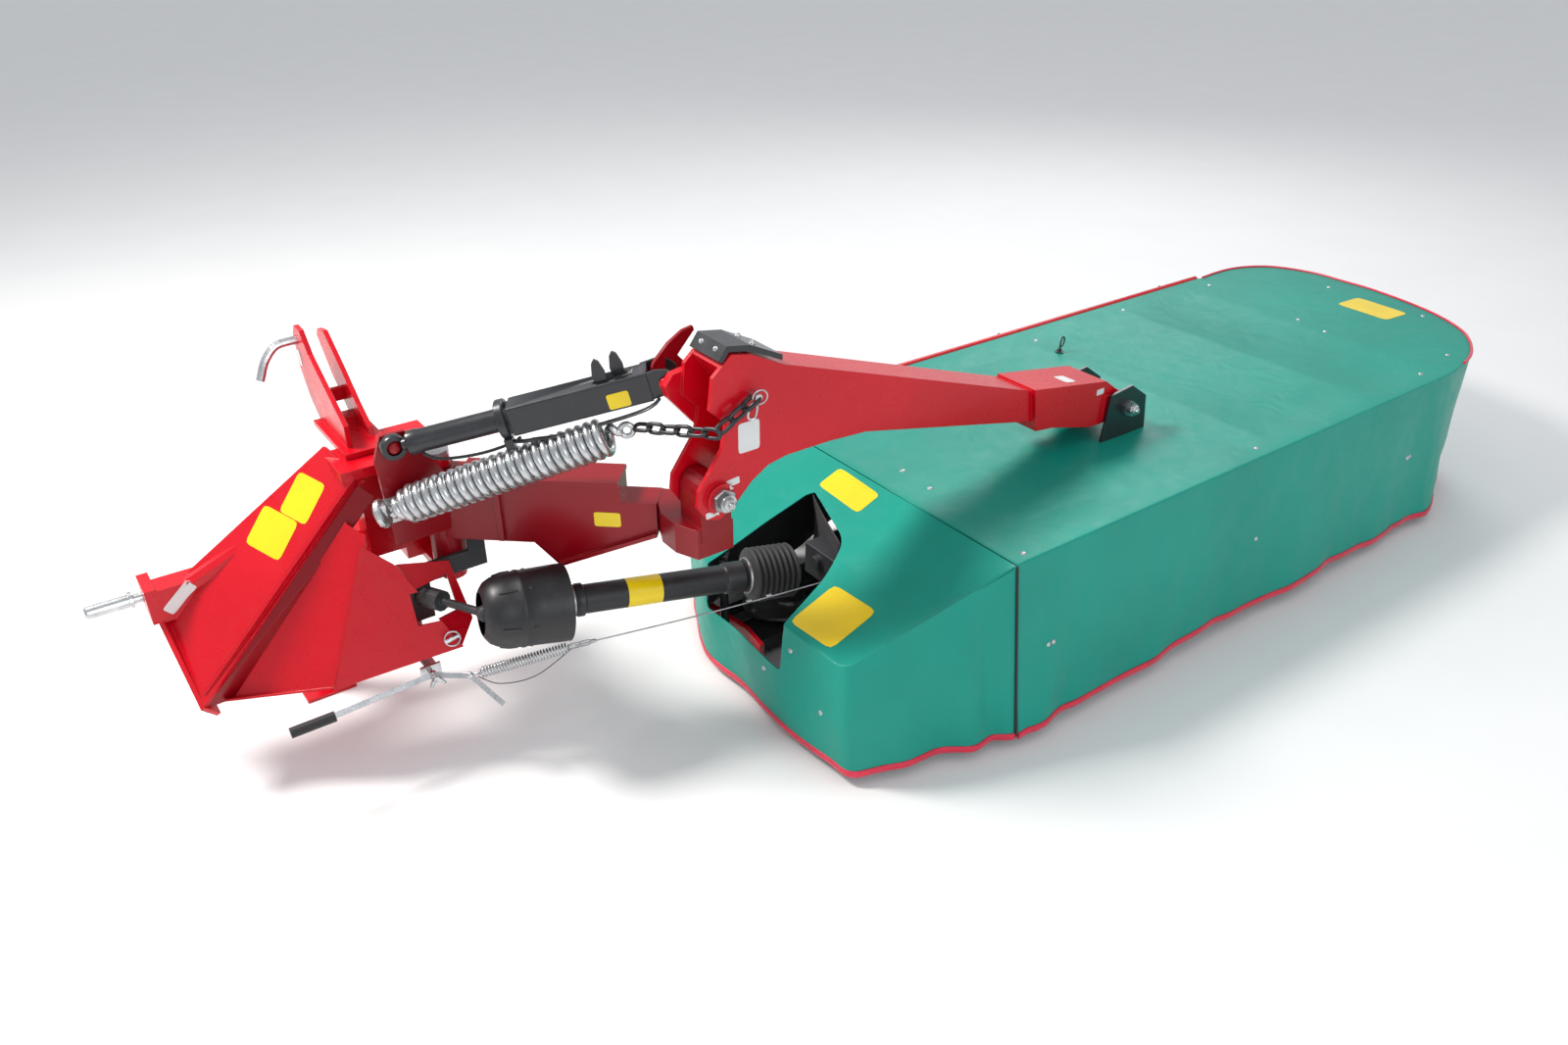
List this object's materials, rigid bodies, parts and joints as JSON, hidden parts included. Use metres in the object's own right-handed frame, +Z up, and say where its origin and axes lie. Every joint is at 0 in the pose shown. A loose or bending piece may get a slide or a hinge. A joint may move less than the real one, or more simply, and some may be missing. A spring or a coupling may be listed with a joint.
{
  "type": "rear-mounted disc mower",
  "caption": "Rear-mounted disc mower: headstock with link pins, swing beam and lift arm with cylinder, drive shaft, and a disc cutterbar under a canvas cover.",
  "frame": {"origin": "on the ground under the middle of the cutterbar, on the sole of the middle skid", "axes": "+X outward along the cutterbar (the tractor's right), +Y in the direction of travel, +Z up"},
  "size_m": [5.032, 1.69, 1.238],
  "materials": {
    "red_paint": "gloss",
    "black_paint": "satin",
    "iron_paint": "painted dark grey",
    "zinc": "zinc plated",
    "steel": "worn",
    "black_plastic": "matte",
    "rubber": "matte",
    "canvas": "coated fabric"
  },
  "bodies": {
    "headstock": {"headstock_frame": "red_paint", "top_link_mast": "red_paint", "top_link_pin": "zinc", "link_pin_left": "zinc", "link_pin_right": "zinc", "drive_guard": "red_paint", "swing_pin": "steel"},
    "stand": {"parking_stand": "red_paint"},
    "beam": {"swing_beam": "red_paint", "drive_gearbox": "iron_paint", "spring_anchor": "zinc", "release_lever": "zinc", "lever_bracket": "zinc", "lever_grip": "rubber"},
    "latch_line": {"latch_spring": "zinc", "latch_cable": "steel"},
    "spring_line": {"balance_spring": "zinc"},
    "ram_base": {"ram_barrel": "black_paint"},
    "ram_rod": {"ram_sleeve": "black_paint"},
    "shaft_drive": {"shaft_inner": "black_plastic", "bell_guard": "black_plastic"},
    "shaft_sleeve": {"shaft_outer": "black_plastic", "bellows_guard": "rubber"},
    "arm": {"lift_arm": "red_paint", "lift_pin": "steel", "knee_cover": "black_plastic", "balance_chain": "steel", "tilt_pin": "steel"},
    "mower": {"pivot_bracket": "black_paint", "main_rail": "red_paint", "cutterbar": "iron_paint", "skid_1": "steel", "skid_2": "steel", "skid_3": "steel", "skid_4": "steel", "skid_5": "steel", "skid_6": "steel", "skid_7": "steel", "inner_shoe": "red_paint", "outer_shoe": "red_paint", "mower_gearbox": "iron_paint", "hood_frame": "black_paint", "top_canvas": "canvas", "rear_canvas": "canvas", "inner_canvas": "canvas", "outer_canvas": "canvas", "shaft_flap": "rubber"},
    "front_curtain": {"front_guard": "canvas"},
    "cutter_1": {"disc_1": "steel"},
    "cutter_2": {"disc_2": "steel"},
    "cutter_3": {"disc_3": "steel"},
    "cutter_4": {"disc_4": "steel"},
    "cutter_5": {"disc_5": "steel"},
    "cutter_6": {"disc_6": "steel"},
    "cutter_7": {"disc_7": "steel"},
    "cutter_8": {"disc_8": "steel"}
  },
  "joints": [
    {"name": "stand_slide", "type": "slide", "parent": "headstock", "child": "stand", "axis": [0, 0, 1], "range_m": [0, 0.3]},
    {"name": "swing", "type": "hinge", "parent": "headstock", "child": "beam", "pos_m": [-2.41, 0.5, 0.65], "axis": [0, 0, 1], "range_deg": [-15, 0]},
    {"name": "lift", "type": "hinge", "parent": "beam", "child": "arm", "pos_m": [-1.904, -0.08, 0.833], "axis": [0, -1, 0], "range_deg": [-8, 28]},
    {"name": "ram_turn", "type": "hinge", "parent": "beam", "child": "ram_base", "pos_m": [-2.54, 0.42, 0.936], "axis": [0.2993, 0.0554, -0.9526], "range_deg": [-2, 7]},
    {"name": "ram_slide", "type": "slide", "parent": "ram_base", "child": "ram_rod", "axis": [0.8306, -0.5065, 0.2315], "range_m": [-0.12, 0.032]},
    {"name": "shaft_turn", "type": "hinge", "parent": "beam", "child": "shaft_drive", "pos_m": [-2.4463, 0.1876, 0.5047], "axis": [-0.1826, -0.9729, 0.1419], "range_deg": [-4, 15]},
    {"name": "shaft_slide", "type": "slide", "parent": "shaft_drive", "child": "shaft_sleeve", "axis": [0.9744, -0.1983, -0.1058], "range_m": [-0.047, 0.175]},
    {"name": "line_turn", "type": "hinge", "parent": "beam", "child": "latch_line", "pos_m": [-2.5, 0.226, 0.298], "axis": [-0.3724, -0.8066, 0.459], "range_deg": [-3, 9]},
    {"name": "spring_turn", "type": "hinge", "parent": "beam", "child": "spring_line", "pos_m": [-2.59, 0.41, 0.764], "axis": [0, 0, -1], "range_deg": [-4, 12]},
    {"name": "tilt", "type": "hinge", "parent": "arm", "child": "mower", "pos_m": [-0.32, -0.08, 0.68], "axis": [0, -1, 0], "range_deg": [-4, 4]},
    {"name": "front_curtain_hinge", "type": "hinge", "parent": "mower", "child": "front_curtain", "pos_m": [0, 0.692, 0.582], "axis": [1, 0, 0], "range_deg": [0, 100]},
    {"name": "cutter_1_spin", "type": "hinge", "parent": "mower", "child": "cutter_1", "pos_m": [-1.365, 0.28, 0.09], "axis": [0, 0, 1], "continuous": true},
    {"name": "cutter_2_spin", "type": "hinge", "parent": "mower", "child": "cutter_2", "pos_m": [-0.975, 0.28, 0.09], "axis": [0, 0, 1], "continuous": true},
    {"name": "cutter_3_spin", "type": "hinge", "parent": "mower", "child": "cutter_3", "pos_m": [-0.585, 0.28, 0.09], "axis": [0, 0, 1], "continuous": true},
    {"name": "cutter_4_spin", "type": "hinge", "parent": "mower", "child": "cutter_4", "pos_m": [-0.195, 0.28, 0.09], "axis": [0, 0, 1], "continuous": true},
    {"name": "cutter_5_spin", "type": "hinge", "parent": "mower", "child": "cutter_5", "pos_m": [0.195, 0.28, 0.09], "axis": [0, 0, 1], "continuous": true},
    {"name": "cutter_6_spin", "type": "hinge", "parent": "mower", "child": "cutter_6", "pos_m": [0.585, 0.28, 0.09], "axis": [0, 0, 1], "continuous": true},
    {"name": "cutter_7_spin", "type": "hinge", "parent": "mower", "child": "cutter_7", "pos_m": [0.975, 0.28, 0.09], "axis": [0, 0, 1], "continuous": true},
    {"name": "cutter_8_spin", "type": "hinge", "parent": "mower", "child": "cutter_8", "pos_m": [1.365, 0.28, 0.09], "axis": [0, 0, 1], "continuous": true}
  ],
  "couplings": [
    {"joint": "ram_turn", "follows": "lift", "ratio": 0.2126},
    {"joint": "ram_slide", "follows": "lift", "m_per_rad": -0.2287},
    {"joint": "shaft_turn", "follows": "lift", "ratio": 0.4699},
    {"joint": "shaft_slide", "follows": "lift", "m_per_rad": 0.3323},
    {"joint": "line_turn", "follows": "lift", "ratio": 0.2657},
    {"joint": "spring_turn", "follows": "lift", "ratio": 0.4},
    {"joint": "cutter_2_spin", "follows": "cutter_1_spin", "ratio": -1},
    {"joint": "cutter_3_spin", "follows": "cutter_1_spin", "ratio": 1},
    {"joint": "cutter_4_spin", "follows": "cutter_1_spin", "ratio": -1},
    {"joint": "cutter_5_spin", "follows": "cutter_1_spin", "ratio": 1},
    {"joint": "cutter_6_spin", "follows": "cutter_1_spin", "ratio": -1},
    {"joint": "cutter_7_spin", "follows": "cutter_1_spin", "ratio": 1},
    {"joint": "cutter_8_spin", "follows": "cutter_1_spin", "ratio": -1}
  ]
}
